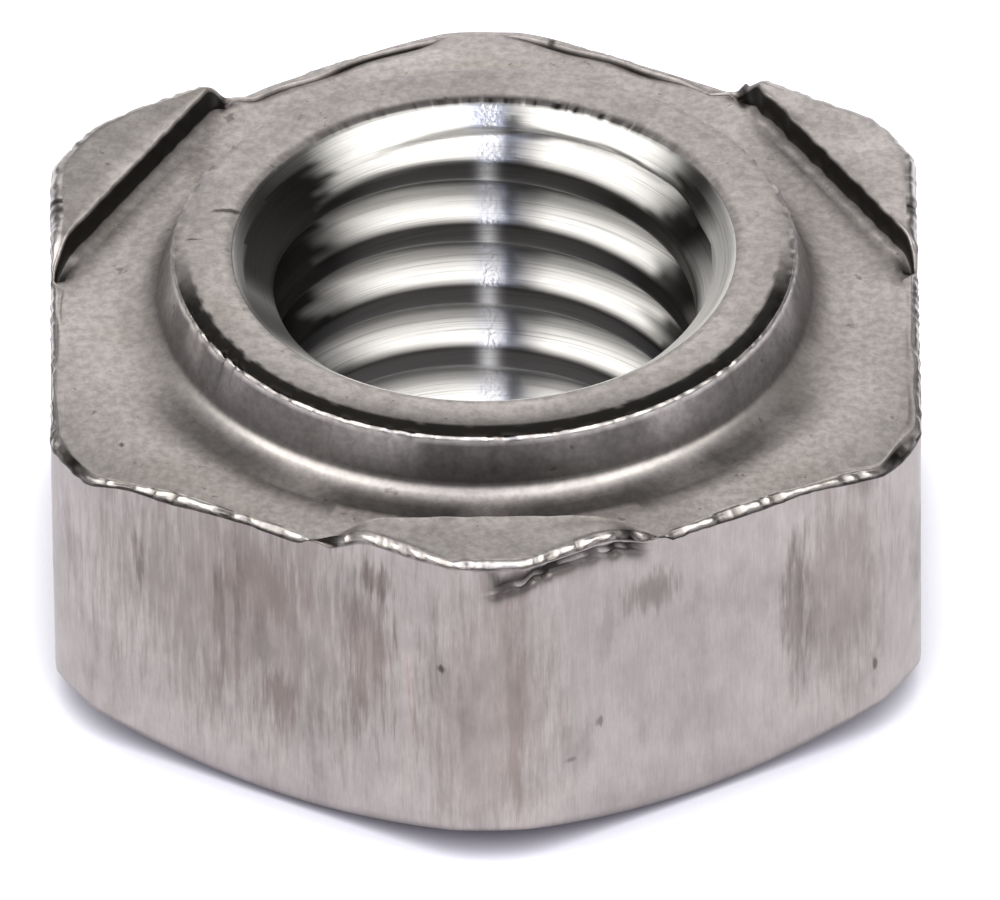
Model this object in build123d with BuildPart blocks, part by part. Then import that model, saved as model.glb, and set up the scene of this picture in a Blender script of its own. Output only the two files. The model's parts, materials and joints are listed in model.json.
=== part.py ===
"""M8 hexagon weld nut: one piece of stainless steel, cold-forged and then tapped.

Millimetres. The origin is the middle of the flat bearing face, the nut's axis is Z, and the
welding side, with its pilot collar and its three corner projections, faces +Z. One projection
points along -Y.
"""
import os
from math import cos, radians, tan

from build123d import *

# Thread M8, modelled as the plain bore at its crests
thread_major_diameter = 8.0
thread_pitch = 1.25
thread_height_ratio = 0.48  # of the pitch, as the usual 6.8 mm tapping drill leaves it
thread_minor_diameter = thread_major_diameter - 2 * thread_height_ratio * thread_pitch

# Hexagonal body; the forging stops a little short of the full corners
across_flats = 14.0
corner_shortfall = 0.333
corner_blend_radius = 0.5
body_height = 5.45
across_corners = across_flats / cos(radians(30)) - 2 * corner_shortfall

# Bearing side: a turned chamfer leaves a round bearing face
bearing_face_inset = 0.3
bearing_chamfer_angle = 30.0
bearing_face_diameter = across_flats - 2 * bearing_face_inset

# Welding side: the face rolls off towards the plain corners, and its edge is broken
face_roll_width = 1.3
face_roll_radius = 3.5
face_edge_break = 0.12
flat_face_diameter = across_corners - 2 * face_roll_width

# Weld projections, one on every second corner, each with a straight inner wall
projection_count = 3
projection_width = 1.3
projection_height = 0.5
projection_crown_radius = 0.4
projection_inner_distance = across_corners / 2 - projection_width

# Pilot collar round the hole; its root fillet stays on the land inside the projections, and its
# crown takes what height the root and the short straight wall leave
collar_diameter = 10.5
collar_height = 1.05
collar_root_radius = 0.45
collar_wall_height = 0.3
land_width = projection_inner_distance - collar_diameter / 2
root_share_of_land = 0.8
root_fillet_radius = min(collar_root_radius, root_share_of_land * land_width)
collar_crown_radius = collar_height - root_fillet_radius - collar_wall_height

# Countersinks at both mouths of the hole, each a little wider than the thread
weld_mouth_margin = 0.25
bearing_mouth_margin = 0.35
countersink_slope = 30.0

# Outline of the forging
with BuildSketch() as outline:
    RegularPolygon(across_flats / 2, 6, major_radius=False, rotation=90)
    Circle(across_corners / 2, mode=Mode.INTERSECT)
    fillet(outline.vertices(), corner_blend_radius)

# Body up to the welding face, which rolls off all round its flat middle
with BuildPart() as body:
    with BuildSketch(Plane.XZ):
        with BuildLine():
            roll = CenterArc(
                (flat_face_diameter / 2, body_height - face_roll_radius), face_roll_radius, 30, 60
            )
            Polyline(roll @ 1, (0, body_height), (0, 0), ((roll @ 0).X, 0), roll @ 0)
        make_face()
    revolve(axis=Axis.Z)
    extrude(outline.sketch, amount=body_height, mode=Mode.INTERSECT)
    rolled_edges = body.faces().filter_by(GeomType.TORUS).edges()
    sunk = body_height - face_edge_break / 10
    chamfer(
        rolled_edges.filter_by(lambda edge: (edge @ 0).Z < sunk and (edge @ 1).Z < sunk),
        face_edge_break,
    )

# Corner columns whose tops are the weld projections: what the outline has outside a triangle,
# crowned along its outer edge
with BuildPart() as projections:
    extrude(outline.sketch, amount=body_height + projection_height)
    fillet(projections.faces().sort_by(Axis.Z)[-1].edges(), projection_crown_radius)
    with BuildSketch():
        RegularPolygon(projection_inner_distance, projection_count, major_radius=False, rotation=90)
    extrude(amount=body_height + projection_height, mode=Mode.SUBTRACT)

with BuildPart() as weld_nut:
    add(body.part)
    add(projections.part)

    # Pilot collar
    with BuildSketch(Plane.XY.offset(body_height)):
        Circle(collar_diameter / 2)
    extrude(amount=collar_height)
    fillet(weld_nut.faces().sort_by(Axis.Z)[-1].edges(), collar_crown_radius)
    face_circles = weld_nut.edges().filter_by(GeomType.CIRCLE).filter_by_position(
        Axis.Z, body_height, body_height
    )
    fillet(face_circles.sort_by(SortBy.RADIUS)[0], root_fillet_radius)

    # Bearing-side chamfer
    with BuildSketch(Plane.XZ):
        with BuildLine():
            chamfer_width = across_corners - bearing_face_diameter / 2
            chamfer_height = chamfer_width * tan(radians(bearing_chamfer_angle))
            Polyline(
                (bearing_face_diameter / 2, 0),
                (across_corners, chamfer_height),
                (across_corners, 0),
                close=True,
            )
        make_face()
    revolve(axis=Axis.Z, mode=Mode.SUBTRACT)

    # Tapping hole and the countersinks at its mouths
    Hole(thread_minor_diameter / 2)
    with BuildSketch(Plane.XZ):
        for margin, mouth_level, inwards in (
            (weld_mouth_margin, body_height + collar_height, -1),
            (bearing_mouth_margin, 0, 1),
        ):
            mouth_radius = thread_major_diameter / 2 + margin
            depth = (mouth_radius - thread_minor_diameter / 2) * tan(radians(countersink_slope))
            with BuildLine():
                Polyline(
                    (0, mouth_level),
                    (mouth_radius, mouth_level),
                    (thread_minor_diameter / 2, mouth_level + inwards * depth),
                    (0, mouth_level + inwards * depth),
                    close=True,
                )
            make_face()
    revolve(axis=Axis.Z, mode=Mode.SUBTRACT)

weld_nut.part.label = "weld_nut"

os.makedirs("parts", exist_ok=True)
export_step(weld_nut.part, "parts/weld_nut.step")
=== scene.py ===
"""Looks of the M8 hexagon weld nut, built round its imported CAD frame.

The CAD solid has a plain bore, so one detailed skin replaces it: the same form, with the tapped
M8 thread, the rolled and nicked edges and the small dents of a cold-forged piece. The skin is one
closed surface made of rings round the Z axis; inside the hole its rings turn into a long helix.

Lengths in the mesh code are millimetres, and angles run anticlockwise from +X seen from above.
The camera looks from -Y, so the front is at 270 degrees. A lug is one of the weld projections.
"""
import json
import math

import bpy
import numpy as np
from mathutils import Matrix, Vector


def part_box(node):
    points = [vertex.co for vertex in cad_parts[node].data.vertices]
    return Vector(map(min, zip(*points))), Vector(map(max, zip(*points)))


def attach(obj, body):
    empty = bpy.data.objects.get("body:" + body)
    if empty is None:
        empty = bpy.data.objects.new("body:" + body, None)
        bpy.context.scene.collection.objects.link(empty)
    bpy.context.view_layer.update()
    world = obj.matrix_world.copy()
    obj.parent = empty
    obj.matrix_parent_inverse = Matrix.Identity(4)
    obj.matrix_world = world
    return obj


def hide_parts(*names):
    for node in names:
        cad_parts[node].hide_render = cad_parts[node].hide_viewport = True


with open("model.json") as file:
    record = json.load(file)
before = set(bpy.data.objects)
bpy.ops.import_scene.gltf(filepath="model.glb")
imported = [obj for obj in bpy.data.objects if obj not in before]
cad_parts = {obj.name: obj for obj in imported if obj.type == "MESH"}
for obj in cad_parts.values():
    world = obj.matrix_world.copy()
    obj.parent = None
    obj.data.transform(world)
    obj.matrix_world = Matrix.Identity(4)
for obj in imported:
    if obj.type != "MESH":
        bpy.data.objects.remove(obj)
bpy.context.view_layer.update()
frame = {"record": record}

MM = 0.001

# ---------------------------------------------------------------- sizes
mounts = {mount["name"]: mount for mount in frame["record"]["mounts"]}
_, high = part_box("weld_nut")
HALF_FLATS = high[0] / MM
HALF_CORNERS = high[1] / MM
TOP = high[2] / MM
BEARING_R = HALF_FLATS - 0.3
SLOPE_30 = math.tan(math.radians(30))
CORNER = np.radians(30)  # the first corner; the others follow every 60 degrees

COLLAR_R = mounts["pilot_collar"]["dims"]["r_mm"]
COLLAR_H = 1.05
COLLAR_TOP_R = 5.08  # the wall tapers to this radius at the rim
RIM_ROUND = 0.09
SHOULDER_R, SHOULDER_DROP, SHOULDER_SLOPE = 4.70, 0.06, 17  # where the top starts to fall
ROOT_RUN, ROOT_RISE = 0.65, 0.33
FACE = TOP - COLLAR_H

CORNER_WIDTH = 1.3  # how far inside the corners the lugs' inner walls stand
LUG_WALL = HALF_CORNERS - CORNER_WIDTH
WALL_FOOT = 0.19  # how far inside an inner wall the rings of its foot begin
WALL_LEAN = 0.04  # how far outside its foot the top of an inner wall lies
LUG_H = mounts["weld_plane"]["pos_m"][2] / MM - FACE
LUG_ANGLES = np.radians([30.0, 150.0, 270.0])
RIGHT_LUG, FRONT_LUG = 0, 2  # places in LUG_ANGLES
ROLL_START = LUG_WALL
ROLL_R = 3.5

PITCH = 1.25
MAJOR_R = 4.0
CREST_R = mounts["thread"]["dims"]["r_mm"]
THREAD_START = 0.872  # height of a root on the +X side
MOUTH_TOP_R = MAJOR_R + 0.07
MOUTH_LOW_R = MAJOR_R + 0.35
MOUTH_ROUND = 0.45
MOUTH_SLOPE = 45

COLUMNS = 720
THREAD_COLUMNS = COLUMNS // 2
THREAD_ROWS = 20
theta = np.arange(COLUMNS) * 2 * np.pi / COLUMNS

FORGED, DRAWN, TAPPED = 0, 1, 2


# ---------------------------------------------------------------- small functions
def ramp(x, start, end):
    """0 before start, 1 after end, smooth between."""
    t = np.clip((x - start) / (end - start), 0, 1)
    return t * t * (3 - 2 * t)


def bell(x, centre, width, power=2):
    """1 at the centre, falling to about 0.4 at width from it; a higher power is flatter on top."""
    return np.exp(-(((x - centre) / width) ** power))


def turn(angle, centre):
    """Signed angle from centre, in -pi..pi."""
    return (angle - centre + np.pi) % (2 * np.pi) - np.pi


def near(degrees, width):
    """1 at that angle of the ring, falling to 0 at about width degrees from it."""
    return np.exp(-((np.degrees(turn(theta, math.radians(degrees))) / width * 1.5) ** 2))


def soft_min(a, b, width):
    """The smaller of a and b, rounded over where they differ by less than about width."""
    return (a + b - np.sqrt((a - b) ** 2 + width ** 2)) / 2


def soft_max(a, b, width):
    return -soft_min(-a, -b, width)


def ripple(low_n, high_n, seed, level=0.0, drift=0.0, count=24):
    """Smooth random waves round the ring, about 1 high; drift makes them change with level."""
    r = np.random.default_rng(seed)
    n = np.round(np.exp(r.uniform(np.log(low_n), np.log(high_n), count)))
    phase = r.uniform(0, 2 * np.pi, count) + r.normal(0, 1, count) * drift * level
    return np.cos(n * theta[:, None] + phase).sum(axis=1) / math.sqrt(count / 2)


def bites(count, width, seed):
    """Small random bites round an edge: 0 where it is whole, up to 1 inside a bite."""
    r = np.random.default_rng(seed)
    centres = r.uniform(0, 2 * np.pi, count)
    widths = np.radians(width) * np.exp(r.normal(0, 0.5, count))
    depths = r.uniform(0.2, 1, count)
    away = turn(theta[:, None], centres) / widths
    return np.max(depths * np.exp(-away ** 4), axis=1)


def arc(degrees):
    """Sine of that angle, and how far its cosine falls short of 1."""
    t = math.radians(degrees)
    return math.sin(t), 1 - math.cos(t)


# ---------------------------------------------------------------- outline and lugs
to_corner = turn(theta * 6, CORNER * 6) / 6
outline = soft_min(HALF_FLATS / np.cos(CORNER - np.abs(to_corner)), HALF_CORNERS, 0.04)

# stretches of the ring, as the camera sees them
at_back = np.sin(theta) > 0
at_left = np.cos(theta) < 0
at_right = np.cos(theta) > 0
at_front = ramp(-np.sin(theta), 0.3, 0.6)
at_side = ramp(-np.sin(theta), -0.1, 0.3)

off_each = np.array([turn(theta, angle) for angle in LUG_ANGLES])
nearest = np.abs(off_each).argmin(axis=0)
off_lug = off_each[nearest, np.arange(COLUMNS)]
front_lug = nearest == FRONT_LUG

# the inner wall of the nearest lug, which runs on past the lug as a crease beside the edge
wall_line = LUG_WALL / np.cos(off_lug)
along_wall = np.abs(wall_line * np.sin(off_lug)) + 0.03 * ripple(20, 60, 3)
crease_inset = 0.07 + (0.2 + 0.03 * ripple(8, 40, 2)) * ramp(along_wall, 2.85, 3.25)
wall_r = soft_min(wall_line, outline - crease_inset, 0.02)

# lug is 1 on a lug and runs down to 0 at its ends; lug_zone is 1 as far as the inner wall goes
lug = 1 - ramp(along_wall, np.where(front_lug, 1.6, 2.25), np.where(front_lug, 3.0, 2.9))
lug_top = LUG_H * lug
lug_zone = 1 - ramp(along_wall, 2.76, 2.88)

# small notches at the ends of the lugs, and gaps at both ends of the front one, dented into the
# edge and painted dark as shade
notch = bell(along_wall, 2.8, 0.14)
gap_left = bell(along_wall, 2.54, 0.26, 4) * at_left
gap_right = bell(along_wall, 2.3, 0.36, 4) * at_right * (1 - bell(along_wall, 2.36, 0.09))
gap = (gap_left + gap_right) * front_lug

# the edges between the lugs: curled lips at the back, and a raised rim at the front
lip = (1 - lug_zone) * np.clip(0.75 + 0.5 * ripple(6, 20, 4), 0, 1) * at_back
rim = 0.09 * at_front * (1 - lug) * (1 - 0.95 * (near(210, 14) + near(330, 14)))

# the rounded edge all round the top
edge = np.where(front_lug, 0.13, 0.12 + 0.08 * lug) + 0.015 * ripple(10, 40, 51)
edge = np.minimum(edge, outline - wall_r - 0.05)
edge_wave = 0.01 * ripple(5, 16, 5)


def face_height(r):
    """Weld face, which rolls off towards the plain corners."""
    out = np.clip(r - ROLL_START, 0, None)
    held_up = np.where(front_lug, lug, 0.75 * lug)
    return FACE - (ROLL_R - np.sqrt(ROLL_R ** 2 - out ** 2)) * (1 - held_up)


def mouth_arc(degrees):
    """Radius and height of the rounded top of the mouth, where it slopes by that angle."""
    across, drop = arc(degrees)
    tangent = math.tan(math.radians(MOUTH_SLOPE / 2))
    return MOUTH_TOP_R + MOUTH_ROUND * (tangent - across), TOP - MOUTH_ROUND * drop


# ---------------------------------------------------------------- rings of the outer skin
# painted shade: the mouth and the top of the thread are darkened at the left and right sides of the
# hole
mouth_side_shade = 0.85 * np.clip(near(158, 34) + near(205, 30) + near(28, 14), 0, 1)
rings = []


def ring(r, z, zone, wear_and_sheen=0.0, grime_and_shade=0.0):
    """Adds a ring; zone is the finish of the strip that ends at it. Its wear value holds worn edges
    and painted highlights, and its grime value holds dirt and painted shade.
    """
    columns = [np.broadcast_to(value, COLUMNS) * 1.0 for value in (r, z, wear_and_sheen, grime_and_shade)]
    rings.append((*columns, zone))


def mouth_rings():
    """Rounded upper mouth, from the thread up to the collar's top, with a torn edge; painted shade
    darkens it at the back and in the tears, and painted glints break that up.
    """
    torn = bites(150, 0.6, 11) * (0.4 + 0.7 * near(68, 26) + 0.7 * near(140, 14))
    # painted highlights: glints along the back of the mouth, which also break up its painted shade
    bead_glints = np.clip(ripple(60, 170, 12) - 0.9, 0, 1) * near(72, 45)
    for degrees in (45, 40, 35, 30, 26, 22, 18, 14, 10, 5, 0):
        r, z = mouth_arc(degrees)
        dent = 0.03 * torn * bell(degrees, 16, 8)
        shade = bell(degrees, 20, 11, 4)
        grime_and_shade = (0.75 * near(90, 75) + 0.5 * torn) * shade * (1 - bead_glints)
        if degrees > 24:
            grime_and_shade = np.maximum(grime_and_shade, mouth_side_shade)
        zone = TAPPED if degrees > 24 else FORGED
        ring(r, z - dent, zone, wear_and_sheen=bead_glints * shade, grime_and_shade=grime_and_shade)


def collar_rings():
    """Crowned top of the collar, its chipped rim, its wall and the fillet at its root."""
    chips = bites(90, 0.7, 21) * (0.025 + 0.05 * near(214, 16) + 0.04 * near(322, 12))
    shoulder_rings(chips)
    rim_rings(chips)
    # painted shade: the collar's wall is darkened all round, more towards the front
    wall_shade = 0.4 + 0.33 * at_side
    under_rim = np.clip(0.9 + 0.35 * ripple(4, 30, 26), 0.3, 1)
    r = COLLAR_TOP_R - 0.005 - 0.6 * chips
    ring(r, TOP - 0.2 - 0.3 * chips, FORGED, grime_and_shade=0.9 * wall_shade * under_rim)
    root_rings(wall_shade)


def shoulder_rings(chips):
    # painted shade: the collar's top darkens towards its rim, most at the front, in a frayed band
    # and in the chips
    shoulder_shade = 0.12 + 0.5 * near(270, 60)
    ring(SHOULDER_R - 0.17, TOP, FORGED, grime_and_shade=0.08 + 0.22 * near(270, 50))
    for share in (0, 0.12, 0.3, 0.5, 0.75, 1):
        r = SHOULDER_R + share * (COLLAR_TOP_R - RIM_ROUND - SHOULDER_R)
        frayed = share + (0.04 + 0.08 * near(212, 20)) * ripple(30, 120, 23)
        dirt_and_shade = np.maximum(shoulder_shade, at_side * ramp(frayed, 0, 0.3)) + chips * 6 * share ** 4
        ring(r, TOP - SHOULDER_DROP * share ** 2 - chips * share ** 4, FORGED, grime_and_shade=dirt_and_shade)


def rim_rings(chips):
    start_across, start_drop = arc(SHOULDER_SLOPE)
    for degrees in (25, 38, 50, 62, 76):
        across, drop = arc(degrees)
        r = COLLAR_TOP_R - RIM_ROUND * (1 - across + start_across)
        z = TOP - SHOULDER_DROP - RIM_ROUND * (drop - start_drop)
        dent = chips + 0.005 * ripple(30, 120, 22)
        broken = np.clip(0.9 + 0.6 * ripple(30, 150, 24), 0, 1)
        # lighter and smoother where worn, mostly at the front, where the lighter colour is also a
        # painted highlight; the chips are painted dark as shade
        wear_and_sheen = 0.9 * near(270, 120) * broken
        ring(r - dent * 0.8, z - dent, FORGED, wear_and_sheen=wear_and_sheen, grime_and_shade=chips * 4)


def root_rings(wall_shade):
    # painted shade: the fillet is dark below the collar's wall and, mostly at the front, at its
    # foot; painted highlight: a lighter band across its middle at the front
    foot = 0.1 + 0.55 * at_front * np.clip(0.9 + 0.3 * ripple(6, 30, 25), 0, 1)
    for degrees in (82.8, 72, 62, 52, 42, 32, 22, 12, 5, 0):
        across, drop = arc(degrees)
        dirt_and_shade = wall_shade * ramp(degrees, 55, 75) + foot * (1 - ramp(degrees, 22, 50))
        dirt_and_shade = dirt_and_shade + 0.15 * near(270, 30)
        shine = 0.6 * at_front * (1 - 0.7 * near(268, 20)) * bell(degrees, 54, 14)
        r = COLLAR_R + ROOT_RUN * (1 - across)
        ring(r, FACE + ROOT_RISE * drop, FORGED, wear_and_sheen=shine, grime_and_shade=dirt_and_shade)


def face_rings():
    """Weld face, from the collar's root out to the inner walls of the lugs."""
    start = COLLAR_R + ROOT_RUN
    for share in (0.15, 0.4, 0.65, 0.85):
        r = start + share * (wall_r - WALL_FOOT - start)
        # painted shade: darker at the front next to the collar's root
        dirt_and_shade = 0.65 * at_front * ramp(r, start + 0.45, start) * (1 - lug_zone)
        ring(r, face_height(r) + 0.004 * ripple(4, 14, 31, share, 1), FORGED, grime_and_shade=dirt_and_shade)


def wall_rings():
    """Inner walls of the lugs, and past their ends the creases beside the edge."""
    roughness = np.where(nearest == RIGHT_LUG, 1.0, 0.35)
    r = wall_r + 0.015 * ripple(30, 110, 41) * lug_zone * roughness
    foot = 0.07 * lug

    def level(offset):
        return face_height(r + offset)

    tips = np.where(front_lug, 0, lug_zone - lug).clip(0)
    trench = 0.22 * tips + 0.08 * lip
    burr = np.clip(0.012 * (1 + ripple(15, 60, 43)), 0, 0.05) * lug_zone * roughness
    burr += 0.1 * near(52.5, 1.2)
    # painted shade: the inner walls, their feet, the curled lips, the trenches at the lug ends and
    # the notches are darkened
    dark = np.maximum(lip, lug_zone)
    partly_dark = np.maximum(0.3 * dark, tips)
    ring(r - WALL_FOOT, level(-WALL_FOOT), FORGED, grime_and_shade=0.6 * tips)
    ring(r - 0.15, level(-0.15) + 0.3 * foot - 0.5 * trench, FORGED, grime_and_shade=tips)
    ring(r - 0.06, level(-0.06) + foot - 0.8 * trench, FORGED, grime_and_shade=partly_dark)
    ring(r - 0.02, level(-0.02) + foot - trench, FORGED, grime_and_shade=dark)
    ring(r + 0.01, level(0.01) + 0.85 * lug_top - 0.7 * trench, FORGED, grime_and_shade=dark)
    ring(r + 0.02, level(0.02) + lug_top + burr + 0.02 * lip, FORGED, grime_and_shade=0.3 * notch)
    ring(r + WALL_LEAN, level(WALL_LEAN) + lug_top + 0.3 * burr + 0.03 * lip, FORGED)


def top_rings():
    """Tops of the lugs, and between them the strip of the face along the edge."""
    right, left, front = 0.0, 0.37, 0.28
    lug_dirt = np.choose(nearest, (right, left, front)) * lug
    for share in (0.3, 0.6, 0.85, 0.97):
        r = wall_r + WALL_LEAN + share * (outline - edge - wall_r - WALL_LEAN)
        sag = 0.05 * notch * at_back + 0.01 * ripple(6, 20, 52, share, 1) - 0.02 * lip
        sag = np.where(front_lug, 0.5, 1) * sag - rim * ramp(share, 0.85, 1.2)
        # the darker lug tops are dirt; the notches, the gaps and a line along the front edge are
        # darkened as painted shade
        dirt_and_shade = np.maximum(lug_dirt + 0.2 * notch, gap * share)
        front_edge_shade = 0.35 * at_front * (share > 0.9)
        ring(r, face_height(r) + lug_top - sag, FORGED, grime_and_shade=np.maximum(dirt_and_shade, front_edge_shade))


def edge_rings():
    """Rounded edge with its nicks; gives the height where it ends on the flanks."""
    nicks = bites(240, 0.35, 61)
    top = face_height(outline) + lug_top - 0.05 * notch * at_back + rim
    flecks = np.clip(ripple(120, 300, 63), 0, 1)
    # darker at the two front corners and at two spots at the back; painted shade in the gaps and
    # notches, under the edge, most at the front, and in the nicks at the front
    dark = near(210.5, 6) + near(329, 6) + gap
    dark = dark + np.where(front_lug, 0, 0.3) * notch * at_left
    dark = (dark + (near(163, 4) + near(15, 3)) * (1 - flecks)).clip(0, 1)
    for degrees in (5, 20, 35, 50, 65, 80, 90):
        across, drop = arc(degrees)
        deep = (0.035 + 0.03 * at_front) * nicks * math.sin(math.radians(2 * degrees))
        dent = deep + (0.06 * gap + 0.008 * ripple(60, 240, 62)) * across + edge_wave
        wear_and_sheen = max(0.0, 1 - abs(degrees - 40) / 45) * (1 - 0.7 * nicks)
        under = (0.55 + 0.35 * at_front) * (degrees > 75) * (1 - 0.6 * lug)
        grime_and_shade = np.maximum(dark, np.maximum(under, 0.5 * nicks * at_front))
        r = outline - edge * (1 - across) - dent * across
        z = top - edge * drop - dent * (1 - drop)
        ring(r, z, FORGED if degrees < 75 else DRAWN, wear_and_sheen=wear_and_sheen * (1 - dark), grime_and_shade=grime_and_shade)
    return top - edge


LEDGE_REACH = 0.13  # how far the rings of the torn ledge reach below it


def torn_ledge(torn, flank_top):
    """Height of the ledge torn into the flanks below the front lug; elsewhere under the edge."""
    at_degrees = (268, 271, 277.5, 278.5, 289, 291)
    over_face = (-0.12, -0.06, 0.26, 0.32, 0.1, 0.1)
    degrees = np.degrees(theta)
    inside = (degrees > 266) & (degrees < 293)
    ledge = np.where(inside, FACE + np.interp(degrees, at_degrees, over_face), TOP)
    return np.minimum(ledge + 0.02 * torn * ripple(60, 160, 72), flank_top - LEDGE_REACH)


def flank_rings(flank_top):
    """Flanks, with the torn ledge, down to the chamfer of the bearing side."""
    degrees = np.degrees(theta)
    torn = ramp(degrees, 268.5, 272.5) * (1 - ramp(degrees, 289, 292.5))
    torn *= np.clip(1.1 + 0.3 * ripple(30, 90, 70), 0.5, 1)
    ledge = torn_ledge(torn, flank_top)
    # painted shade darkens the torn ledge below, less in spots along its lower lip
    lit = np.clip(0.7 + 0.6 * ripple(60, 160, 73), 0, 1)
    side = outline - 0.008
    ring(side, flank_top - 0.02, DRAWN)
    ring(side - 0.05 * torn, ledge + 0.08, DRAWN, grime_and_shade=0.8 * torn)
    ring(side - 0.12 * torn, ledge + 0.03, DRAWN, grime_and_shade=torn)
    ring(side - 0.06 * torn, ledge - 0.03, DRAWN, grime_and_shade=torn * lit)
    ring(side - 0.09 * torn, ledge - 0.08, DRAWN, grime_and_shade=torn)
    ring(side, ledge - LEDGE_REACH, DRAWN, grime_and_shade=0.2 * torn)
    chamfer_top = (outline - BEARING_R) * SLOPE_30
    for share in (0.06, 0.16, 0.28, 0.4, 0.52, 0.64, 0.76, 0.88, 0.97):
        z = ledge - LEDGE_REACH + share * (chamfer_top - ledge + LEDGE_REACH)
        ring(side - 0.006 * ripple(8, 60, 71, share, 1.5), z, DRAWN)
    ring(outline - 0.02, chamfer_top, DRAWN)
    ring((outline + BEARING_R) / 2, chamfer_top / 2, FORGED)
    ring(BEARING_R + 0.02, 0.02, FORGED)


def bearing_rings():
    """Bearing face, slightly uneven, in to the lower countersink."""
    ring(BEARING_R - 0.03, 0, FORGED)
    ring(6.1, 0, FORGED)
    ring(5.4, 0.004 * (1 + ripple(3, 9, 81)), FORGED)
    ring(4.8, 0, FORGED)
    ring(MOUTH_LOW_R + 0.02, 0, FORGED)
    ring(MOUTH_LOW_R - 0.01, 0.012, FORGED)


# ---------------------------------------------------------------- thread
THREAD_LOW = 0.035  # heights of its level ends
THREAD_HIGH = mouth_arc(MOUTH_SLOPE)[1] - 0.03
THREAD_BACK = math.radians(86)  # far side of the hole, as the camera sees it
MERGE = 0.012  # rows nearer than this to an end circle become part of it
thread_angles = np.arange(THREAD_COLUMNS) * 2 * np.pi / THREAD_COLUMNS


def thread_radius(turns):
    """Radius of the tapped profile; turns counts pitches along the axis, with roots at integers."""
    off_root = PITCH * np.abs((turns + 0.5) % 1 - 0.5)
    straight = MAJOR_R - (off_root - PITCH / 16) / SLOPE_30
    return soft_max(soft_min(straight, MAJOR_R - 0.01, 0.05), CREST_R, 0.05)


def mouth_radius(z):
    """Radius of the two countersinks at height z."""
    depth = TOP - z
    across, drop = arc(MOUTH_SLOPE)
    sine = np.sqrt(np.clip(1 - (1 - depth / MOUTH_ROUND) ** 2, 0, across ** 2))
    rounded = MOUTH_TOP_R + MOUTH_ROUND * (math.tan(math.radians(MOUTH_SLOPE / 2)) - sine)
    top = np.where(depth < MOUTH_ROUND * drop, rounded, MOUTH_TOP_R - depth)
    bottom = MOUTH_LOW_R - z / SLOPE_30
    return np.maximum(top, bottom)


def thread_grid():
    """Radii and heights of the helix, a row of them for each angle of the thread.

    They run past both ends by more than the pitch that each turn climbs.
    """
    angle = thread_angles[:, None]
    steps = int(THREAD_ROWS * ((THREAD_HIGH - THREAD_LOW) / PITCH + 2.3))
    along = THREAD_LOW / PITCH - 1.1 + np.arange(steps) / THREAD_ROWS
    z = (along + angle / (2 * np.pi)) * PITCH
    r = thread_radius(along - THREAD_START / PITCH) - 0.3 * ramp(z, TOP - 0.55, TOP - 0.3)
    return soft_max(r, mouth_radius(z), 0.0001 + 0.03 * ramp(TOP - z, 0.35, 0.5)), z


def thread_shade(r, z):
    """Painted shade of the helix: dark crests and roots, dark sides of the hole, and at the back a
    dark streak beside a line left lighter.
    """
    depth = TOP - z
    crests = 0.95 * ramp(-r, -CREST_R - 0.11, -CREST_R - 0.02)
    roots = 0.75 * ramp(r, MAJOR_R - 0.25, MAJOR_R)
    dirt_and_shade = (crests + roots) * ramp(depth, 0.5, 0.8)
    dirt_and_shade = np.maximum(dirt_and_shade, mouth_side_shade[::2, None] * (1 - ramp(depth, 0.9, 1.8)))
    aside = np.degrees(turn(thread_angles, THREAD_BACK))[:, None]
    frayed = 4 * np.cos(11 * z + 2) + 3 * np.cos(29 * z) + 2 * np.cos(67 * z + 1)  # degrees
    sides = ramp(np.abs(aside) + frayed, 45, 55)
    sides = sides * (1 - ramp(aside, 95, 125)) * (1 - ramp(-aside, 62, 78))
    dirt_and_shade = np.maximum(dirt_and_shade, 0.93 * sides) * (1 - 0.6 * bell(aside, 3, 2.5))
    return np.maximum(dirt_and_shade, 0.6 * bell(aside + 0.1 * frayed, -2.8, 2.4))


# ---------------------------------------------------------------- mesh
verts, faces, face_zones, point_wear_and_sheen, point_grime_and_shade = [], [], [], [], []


def add_points(r, angle, z, worn_and_sheen=0.0, dirt_and_shade=0.0):
    """Adds vertices and gives the index of the first."""
    first = len(verts)
    r, angle, z, worn_and_sheen, dirt_and_shade = np.broadcast_arrays(r, angle, z, worn_and_sheen, dirt_and_shade)
    verts.extend(zip(r * np.cos(angle), r * np.sin(angle), z))
    point_wear_and_sheen.extend(worn_and_sheen)
    point_grime_and_shade.extend(dirt_and_shade)
    return first


def add_face(zone, *corners):
    faces.append(corners)
    face_zones.append(zone)


def add_rings():
    """Outer skin, from the upper mouth down to the lower one."""
    for r, z, worn_and_sheen, dirt_and_shade, _ in rings:
        add_points(r, theta, z, worn_and_sheen, dirt_and_shade)
    for k in range(1, len(rings)):
        upper, lower = (k - 1) * COLUMNS, k * COLUMNS
        for i in range(COLUMNS):
            j = (i + 1) % COLUMNS
            add_face(rings[k][4], upper + i, lower + i, lower + j, upper + j)


def add_circle(z, dirt_and_shade=0.0):
    """Level end of the thread at that height; gives the index of its first vertex."""
    return add_points(soft_max(CREST_R, mouth_radius(z), 0.03), thread_angles, z, dirt_and_shade=dirt_and_shade)


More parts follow.
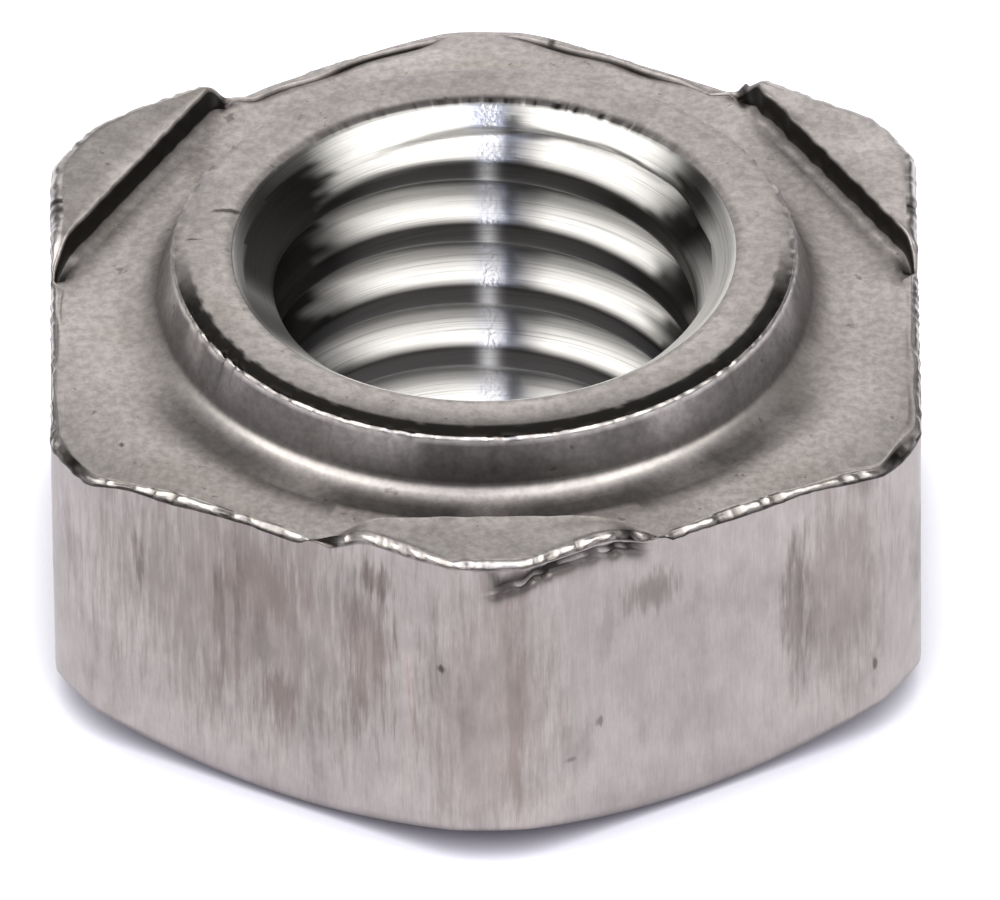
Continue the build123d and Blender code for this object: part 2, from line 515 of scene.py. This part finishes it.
def add_helix(low_circle, high_circle):
    """Thread between its end circles; each turn ends one pitch higher than it began."""
    r, z = thread_grid()
    below, above = z < THREAD_LOW + MERGE, z > THREAD_HIGH - MERGE
    kept = ~(below | above)
    index = np.where(below, low_circle, high_circle) + np.arange(THREAD_COLUMNS)[:, None]
    angle = np.broadcast_to(thread_angles[:, None], z.shape)
    first = add_points(r[kept], angle[kept], z[kept], dirt_and_shade=thread_shade(r, z)[kept])
    index[kept] = first + np.arange(kept.sum())
    for i in range(THREAD_COLUMNS):
        j = (i + 1) % THREAD_COLUMNS
        climb = THREAD_ROWS if j == 0 else 0
        for k in range(z.shape[1] - 1 - climb):
            m = k + climb
            corners = (index[i, k], index[i, k + 1], index[j, m + 1], index[j, m])
            corners = [v for n, v in enumerate(corners) if v != corners[n - 1]]
            if len(set(corners)) > 2:
                add_face(TAPPED, *corners)


def close_mouths(low_circle, high_circle):
    """Joins the end circles to the first and the last ring, which have twice as many vertices."""
    last_ring = (len(rings) - 1) * COLUMNS
    for i in range(THREAD_COLUMNS):
        j = (i + 1) % THREAD_COLUMNS
        a, b, c = 2 * i, 2 * i + 1, (2 * i + 2) % COLUMNS
        add_face(TAPPED, high_circle + i, a, b)
        add_face(TAPPED, high_circle + i, b, high_circle + j)
        add_face(TAPPED, high_circle + j, b, c)
        a, b, c = last_ring + a, last_ring + b, last_ring + c
        add_face(FORGED, low_circle + i, b, a)
        add_face(FORGED, low_circle + i, low_circle + j, b)
        add_face(FORGED, low_circle + j, c, b)


def make_piece(name):
    mesh = bpy.data.meshes.new(name)
    mesh.from_pydata([(x * MM, y * MM, z * MM) for x, y, z in verts], [], faces)
    mesh.polygons.foreach_set("material_index", face_zones)
    mesh.polygons.foreach_set("use_smooth", [True] * len(faces))
    # wear holds worn edges and painted highlights; grime holds dirt and painted shade
    for attribute, values in (("wear_and_sheen", point_wear_and_sheen), ("grime_and_shade", point_grime_and_shade)):
        layer = mesh.attributes.new(attribute, "FLOAT", "POINT")
        layer.data.foreach_set("value", np.clip(values, 0, 1))
    mesh.update()
    piece = bpy.data.objects.new(name, mesh)
    bpy.context.scene.collection.objects.link(piece)
    return piece


mouth_rings()
collar_rings()
face_rings()
wall_rings()
top_rings()
flank_rings(edge_rings())
bearing_rings()
add_rings()
low_end, high_end = add_circle(THREAD_LOW), add_circle(THREAD_HIGH, mouth_side_shade[::2])
add_helix(low_end, high_end)
close_mouths(low_end, high_end)
nut = make_piece("weld_nut_forging")


# ---------------------------------------------------------------- node helpers
def node(tree, kind, **values):
    new = tree.nodes.new(kind)
    for key, value in values.items():
        setattr(new, key, value)
    return new


def link(tree, source, target):
    """Feeds a socket from another socket or from a constant."""
    if isinstance(source, bpy.types.NodeSocket):
        tree.links.new(source, target)
    elif isinstance(source, tuple) and target.type == "RGBA":
        target.default_value = (*source, 1)
    else:
        target.default_value = source


def math_node(tree, operation, a, b=0.0):
    new = node(tree, "ShaderNodeMath", operation=operation)
    link(tree, a, new.inputs[0])
    link(tree, b, new.inputs[1])
    return new.outputs[0]


def times(tree, a, b):
    return math_node(tree, "MULTIPLY", a, b)


def plus(tree, a, b):
    return math_node(tree, "ADD", a, b)


def vector_node(tree, operation, a, b=(0, 0, 0)):
    new = node(tree, "ShaderNodeVectorMath", operation=operation)
    link(tree, a, new.inputs[0])
    link(tree, b, new.inputs[1])
    return new.outputs["Value" if operation == "LENGTH" else "Vector"]


def vector(tree, x, y, z=0.0):
    new = node(tree, "ShaderNodeCombineXYZ")
    for source, socket in zip((x, y, z), new.inputs):
        link(tree, source, socket)
    return new.outputs[0]


def remap(tree, value, from_low, from_high, to_low, to_high):
    new = node(tree, "ShaderNodeMapRange", interpolation_type="SMOOTHSTEP")
    for socket, number in zip(new.inputs, (value, from_low, from_high, to_low, to_high)):
        link(tree, number, socket)
    return new.outputs[0]


def blend(tree, factor, a, b, kind="MIX"):
    new = node(tree, "ShaderNodeMix", data_type="RGBA", blend_type=kind)
    link(tree, factor, new.inputs[0])
    link(tree, a, new.inputs[6])
    link(tree, b, new.inputs[7])
    return new.outputs[2]


def toned(tree, color, tone):
    """Color times a tone."""
    return blend(tree, 1.0, color, tone, "MULTIPLY")


def stretched(tree, scale):
    """Object coordinates in millimetres, times a scale for each axis."""
    where = node(tree, "ShaderNodeTexCoord").outputs["Object"]
    return vector_node(tree, "MULTIPLY", where, [1000 * s for s in scale])


def axes(tree):
    """X, Y and Z in millimetres."""
    split = node(tree, "ShaderNodeSeparateXYZ")
    link(tree, stretched(tree, (1, 1, 1)), split.inputs[0])
    return split.outputs


def noise_at(tree, where, detail=3.0, roughness=0.5):
    new = node(tree, "ShaderNodeTexNoise")
    inputs = {"Vector": where, "Scale": 1, "Detail": detail, "Roughness": roughness}
    for name, value in inputs.items():
        link(tree, value, new.inputs[name])
    return new.outputs["Fac"]


def noise(tree, scale, detail=3.0, roughness=0.5):
    return noise_at(tree, stretched(tree, scale), detail, roughness)


def painted(tree, name):
    """Value that the skin's mesh carries."""
    return node(tree, "ShaderNodeAttribute", attribute_name=name).outputs["Fac"]


def mottled(tree, detail, dark, light):
    """Broad soft mottling between two colours."""
    spread = remap(tree, noise(tree, (0.5, 0.5, 0.5), detail), 0.35, 0.65, 0, 1)
    return blend(tree, spread, dark, light)


def mark(tree, centre, size, fray):
    """1 inside a ragged blot of that centre and half size in millimetres, fading to 0 outside."""
    shifted = vector_node(tree, "SUBTRACT", stretched(tree, (1, 1, 1)), centre)
    away = vector_node(tree, "LENGTH", vector_node(tree, "DIVIDE", shifted, size))
    return remap(tree, plus(tree, away, fray), 0.35, 1.2, 1, 0)


def add_marks(tree, color, fray_scale, marks):
    """Darkens or lightens the colour in each mark, given by its centre, half size and tone."""
    fray = remap(tree, noise(tree, fray_scale, 3, 0.65), 0.25, 0.75, -0.4, 0.45)
    for centre, size, tone in marks:
        shade = tuple(tone * share for share in MARK_TINT)
        color = blend(tree, mark(tree, centre, size, fray), color, shade, "MULTIPLY")
    return color


def new_steel(name):
    material = bpy.data.materials.new(name)
    material.use_nodes = True
    shader = material.node_tree.nodes["Principled BSDF"]
    shader.inputs["Metallic"].default_value = 1
    return material, material.node_tree, shader


def bump(tree, height, distance):
    new = node(tree, "ShaderNodeBump")
    new.inputs["Strength"].default_value = 0.3
    new.inputs["Distance"].default_value = distance * MM
    link(tree, height, new.inputs["Height"])
    return new.outputs["Normal"]


# ---------------------------------------------------------------- steels
# colour of dirt and of painted shade, for the grime attribute
GRIME_SHADE_COLOR = (0.03, 0.027, 0.024)
MARK_TINT = (1.0, 0.965, 0.945)

FORGED_MARKS = (
    ((-4.15, 1.1, 6.5), (0.22, 0.06, 0.3), 0.3),
    ((-4.7, 0.34, 6.5), (0.15, 0.04, 0.3), 0.35),
    ((-5.85, -3.72, 5.4), (0.07, 0.09, 0.3), 0.25),
    ((-4.55, 3.7, 5.45), (0.35, 0.6, 0.2), 0.75),
    ((1.13, 7.2, 5.4), (0.09, 0.14, 0.3), 0.15),
)
DRAWN_MARKS = (
    # left front flank
    ((-3.9, -5.8, 3.8), (3.3, 3.3, 2.9), 0.74),
    ((-3.6, -6.0, 4.2), (0.9, 0.9, 0.85), 0.8),
    ((-4.3, -5.6, 3.5), (0.12, 0.3, 1.7), 0.76),
    ((-4.02, -5.75, 3.4), (0.06, 0.3, 1.7), 0.8),
    ((-3.4, -6.1, 2.1), (0.4, 0.5, 0.65), 0.8),
    ((-1.9, -7.0, 3.6), (0.5, 0.6, 1.9), 0.86),
    ((-1.77, -7.06, 5.1), (0.4, 0.5, 0.35), 0.66),
    ((-1.3, -7.3, 3.0), (0.12, 0.4, 1.9), 1.12),
    ((-0.76, -7.65, 3.8), (0.08, 0.2, 0.1), 0.3),
    # front corner and right front flank
    ((0.0, -7.7, 2.9), (1.4, 1.2, 3.2), 0.84),
    ((0.43, -7.7, 3.2), (0.2, 0.5, 2.4), 0.84),
    ((1.77, -7.06, 2.27), (0.07, 0.1, 0.12), 0.55),
    ((1.3, -7.33, 1.71), (0.13, 0.1, 0.06), 0.65),
    ((2.63, -6.57, 4.5), (0.55, 0.6, 0.45), 0.64),
    ((4.95, -5.24, 3.1), (0.25, 0.5, 1.7), 0.7),
    ((5.7, -4.8, 3.2), (1.0, 1.0, 2.4), 0.78),
    ((6.23, -4.48, 1.43), (0.05, 0.1, 0.12), 0.45),
    # near the left corner
    ((-5.6, -4.8, 3.9), (0.1, 0.2, 0.7), 0.65),
)


def forged_color(tree, pits, worn_and_sheen, darkening):
    color = mottled(tree, 4, (0.56, 0.52, 0.505), (0.63, 0.585, 0.565))
    brown = remap(tree, noise(tree, (0.35, 0.35, 0.35), 2), 0.52, 0.68, 0, 0.5)
    color = blend(tree, brown, color, (0.50, 0.455, 0.405))
    grain = remap(tree, noise(tree, (7, 7, 7), 4, 0.65), 0.3, 0.7, 0.8, 1.12)
    color = toned(tree, color, grain)
    color = blend(tree, pits, color, (0.16, 0.145, 0.14))
    color = add_marks(tree, color, (5, 5, 5), FORGED_MARKS)
    color = blend(tree, times(tree, worn_and_sheen, 0.7), color, (0.78, 0.75, 0.71))
    return blend(tree, darkening, color, GRIME_SHADE_COLOR)


def forged_steel():
    """Satin forged face: mottled warm grey and pitted, lighter on worn edges and painted
    highlights, dark with dirt and with painted shade in creases.
    """
    material, tree, shader = new_steel("steel_forged")
    pits = remap(tree, noise(tree, (3, 3, 3), 3, 0.7), 0.66, 0.72, 0, 0.55)
    worn_and_sheen = painted(tree, "wear_and_sheen")
    color = forged_color(tree, pits, worn_and_sheen, painted(tree, "grime_and_shade"))
    link(tree, color, shader.inputs["Base Color"])
    rough = remap(tree, noise(tree, (1.2, 1.2, 1.2), 4), 0.3, 0.7, 0.48, 0.56)
    link(tree, plus(tree, rough, times(tree, worn_and_sheen, -0.22)), shader.inputs["Roughness"])
    height = plus(tree, noise(tree, (4, 4, 4), 5, 0.6), times(tree, pits, -1.0))
    link(tree, bump(tree, height, 0.012), shader.inputs["Normal"])
    return material


def drawn_color(tree, drawn, smudge, darkening):
    lines = remap(tree, noise(tree, (14, 14, 0.35), 4, 0.7), 0.3, 0.75, 1, 0)
    lines = times(tree, times(tree, lines, drawn), 0.2)
    smudge = times(tree, times(tree, smudge, drawn), 0.45)
    fine = remap(tree, noise(tree, (30, 30, 2.5), 3, 0.7), 0.25, 0.75, 0.92, 1.06)
    coarse = remap(tree, noise(tree, (2.4, 2.4, 1.4), 5, 0.65), 0.3, 0.7, 0.9, 1.06)
    color = mottled(tree, 3, (0.372, 0.337, 0.32), (0.427, 0.388, 0.368))
    color = toned(tree, toned(tree, color, fine), coarse)
    color = blend(tree, lines, color, (0.26, 0.235, 0.225))
    color = blend(tree, smudge, color, (0.24, 0.215, 0.205))
    color = add_marks(tree, color, (9, 9, 0.9), DRAWN_MARKS)
    return blend(tree, darkening, color, GRIME_SHADE_COLOR)


def drawn_steel():
    """Flanks: fine vertical drawing lines and smudges, which fade along the lowest part."""
    material, tree, shader = new_steel("steel_drawn")
    wander = times(tree, noise(tree, (0.6, 0.6, 0.6), 2), 0.5)
    drawn = remap(tree, plus(tree, axes(tree)["Z"], wander), 1.3, 2.1, 0.25, 1)
    smudge = remap(tree, noise(tree, (1.3, 1.3, 0.45), 4, 0.6), 0.5, 0.72, 0, 1)
    color = drawn_color(tree, drawn, smudge, painted(tree, "grime_and_shade"))
    link(tree, color, shader.inputs["Base Color"])
    link(tree, remap(tree, smudge, 0, 1, 0.36, 0.48), shader.inputs["Roughness"])
    height = times(tree, noise(tree, (18, 18, 0.6), 4, 0.6), drawn)
    link(tree, bump(tree, height, 0.012), shader.inputs["Normal"])
    return material


def tool_marks(tree, x, y, z):
    """Fine marks that run round the hole: the noise changes fast in height and in radius only."""
    radius = vector_node(tree, "LENGTH", vector(tree, x, y))
    across = plus(tree, times(tree, z, 16.0), times(tree, radius, 22.0))
    return noise_at(tree, vector(tree, times(tree, x, 0.25), times(tree, y, 0.25), across), 5, 0.7)


def tapped_steel():
    """Thread: bright, cut by the tap, and rougher along a line down its far and near sides."""
    material, tree, shader = new_steel("steel_tapped")
    x, y, z = axes(tree)
    marks = tool_marks(tree, x, y, z)
    tone = remap(tree, marks, 0.3, 0.52, 0.62, 1)
    color = toned(tree, (1.0, 0.985, 0.96), tone)
    # the grime attribute darkens the thread with painted shade
    color = blend(tree, painted(tree, "grime_and_shade"), color, (0.025, 0.022, 0.02))
    link(tree, color, shader.inputs["Base Color"])
    shader.inputs["Roughness"].default_value = 0.31
    shader.inputs["Anisotropic"].default_value = 1.0
    shader.inputs["Anisotropic Rotation"].default_value = 0.25
    tangent = node(tree, "ShaderNodeTangent", direction_type="RADIAL", axis="Z")
    link(tree, tangent.outputs[0], shader.inputs["Tangent"])
    off_line = math_node(tree, "ABSOLUTE", plus(tree, x, -0.08))
    rough_line = remap(tree, off_line, 0.02, 0.32, 3, 0.3)
    relief = plus(tree, marks, times(tree, noise(tree, (16, 16, 22), 2), rough_line))
    link(tree, bump(tree, relief, 0.01), shader.inputs["Normal"])
    return material


for steel in (forged_steel(), drawn_steel(), tapped_steel()):
    nut.data.materials.append(steel)
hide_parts("weld_nut")
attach(nut, "root")


# ---------------------------------------------------------------- stage
FLOOR_HALF = 2.0  # metres
FLOOR_COLOR = (0.36, 0.35, 0.44)
WARM = (1.0, 0.985, 0.96)
COOL = (0.5, 0.6, 1.0)


def make_floor():
    """Paper that is white in the picture and greys only close under the nut."""
    corners = [(x * FLOOR_HALF, y * FLOOR_HALF, 0) for x, y in ((-1, -1), (1, -1), (1, 1), (-1, 1))]
    mesh = bpy.data.meshes.new("floor")
    mesh.from_pydata(corners, [], [(0, 1, 2, 3)])
    floor = bpy.data.objects.new("floor", mesh)
    bpy.context.scene.collection.objects.link(floor)
    mesh.materials.append(floor_paper())


def floor_paper():
    material = bpy.data.materials.new("floor_paper")
    material.use_nodes = True
    tree = material.node_tree
    shader = tree.nodes["Principled BSDF"]
    link(tree, FLOOR_COLOR, shader.inputs["Base Color"])
    link(tree, 0.9, shader.inputs["Roughness"])
    link(tree, 0.0, shader.inputs["Specular IOR Level"])
    link(tree, (1, 1, 1), shader.inputs["Emission Color"])
    path = node(tree, "ShaderNodeLightPath")
    seen = math_node(tree, "MAXIMUM", path.outputs["Is Camera Ray"], path.outputs["Is Glossy Ray"])
    shade = node(tree, "ShaderNodeAmbientOcclusion")
    shade.inputs["Distance"].default_value = 2.5 * MM
    open_floor = times(tree, math_node(tree, "POWER", shade.outputs["AO"], 2.0), 2.1)
    open_floor = math_node(tree, "MINIMUM", open_floor, 1.0)
    link(tree, times(tree, seen, open_floor), shader.inputs["Emission Strength"])
    return material


def make_world():
    """White for the camera; for the metal a dim room with a pale card behind the nut."""
    world = bpy.data.worlds.new("studio")
    bpy.context.scene.world = world
    world.use_nodes = True
    tree = world.node_tree
    tree.nodes.clear()
    seen = node(tree, "ShaderNodeBackground")
    link(tree, (1, 1, 1), seen.inputs["Color"])
    around = node(tree, "ShaderNodeBackground")
    link(tree, (1, 0.99, 0.98), around.inputs["Color"])
    link(tree, remap(tree, pale_card(tree), 0, 1, 0.07, 1.9), around.inputs["Strength"])
    path = node(tree, "ShaderNodeLightPath")
    mix = node(tree, "ShaderNodeMixShader")
    sources = (path.outputs["Is Camera Ray"], around.outputs[0], seen.outputs[0])
    for source, socket in zip(sources, mix.inputs):
        link(tree, source, socket)
    output = node(tree, "ShaderNodeOutputWorld")
    link(tree, mix.outputs[0], output.inputs["Surface"])


def pale_card(tree):
    """1 on the card, which stands behind the nut and fades towards the floor and the sides."""
    split = node(tree, "ShaderNodeSeparateXYZ")
    link(tree, node(tree, "ShaderNodeTexCoord").outputs["Generated"], split.inputs[0])
    x, y, z = split.outputs
    card = times(tree, remap(tree, z, 0.62, 0.72, 1, 0), remap(tree, y, 0.55, 0.68, 0, 1))
    card = times(tree, card, remap(tree, math_node(tree, "ABSOLUTE", x), 0.3, 0.42, 1, 0))
    return times(tree, card, remap(tree, z, 0.2, 0.42, 0.2, 1))


def panel(name, azimuth, near_by, far_by, side_by, level, color, height=0.5):
    """Level light panel over the nut, from the point straight above it outwards.

    One edge runs along azimuth (0 is the camera side, and + is to the right), from near_by to
    far_by; side_by is how far the panel reaches across. All three are shares of its height.
    """
    size_x, size_y = abs(side_by) * height, (far_by - near_by) * height
    light = bpy.data.lights.new(name, "AREA")
    light.shape = "RECTANGLE"
    light.size, light.size_y = size_x, size_y
    light.energy = level * math.pi * size_x * size_y
    light.color = color
    lamp = bpy.data.objects.new(name, light)
    bpy.context.scene.collection.objects.link(lamp)
    middle = Vector((side_by / 2, -(near_by + far_by) / 2, 1)) * height
    turned = Matrix.Rotation(math.radians(azimuth), 4, "Z")
    lamp.matrix_world = turned @ Matrix.Translation(middle)
    lamp.visible_camera = False


make_floor()
make_world()
panel("light_left", azimuth=-25, near_by=0.15, far_by=1.7, side_by=-1.5, level=2.6, color=WARM)
panel("light_right", azimuth=4, near_by=0.1, far_by=1.7, side_by=1.5, level=2.6, color=WARM)
panel("light_front", azimuth=-2, near_by=0.1, far_by=2.4, side_by=0.07, level=4.0, color=COOL)


# ---------------------------------------------------------------- camera
CAMERA_TILT = 36.5  # degrees down
CAMERA_ROLL = 0.6
CAMERA_AWAY = 560  # millimetres from the middle of the weld face
AIM_RIGHT, AIM_UP = 0.247, -2.403  # millimetres from there, across the picture


def make_camera():
    data = bpy.data.cameras.new("camera")
    data.sensor_width = 36
    data.lens = 1250
    data.clip_start, data.clip_end = 0.01, 10
    camera = bpy.data.objects.new("camera", data)
    bpy.context.scene.collection.objects.link(camera)
    bpy.context.scene.camera = camera
    tilt, roll = math.radians(CAMERA_TILT), math.radians(CAMERA_ROLL)
    forward = Vector((0, math.cos(tilt), -math.sin(tilt)))
    right, up = Vector((1, 0, 0)), Vector((0, math.sin(tilt), math.cos(tilt)))
    rolled_right = math.cos(roll) * right - math.sin(roll) * up
    rolled_up = math.sin(roll) * right + math.cos(roll) * up
    face_centre = Vector((0, 0, FACE))
    aim = face_centre + AIM_RIGHT * rolled_right + AIM_UP * rolled_up
    eye = face_centre - CAMERA_AWAY * forward
    ahead = (aim - eye).normalized()
    side = ahead.cross(rolled_up).normalized()
    turned = Matrix((side, side.cross(ahead), -ahead)).transposed().to_4x4()
    camera.matrix_world = Matrix.Translation(eye * MM) @ turned


make_camera()
bpy.context.scene.view_settings.view_transform = "Standard"
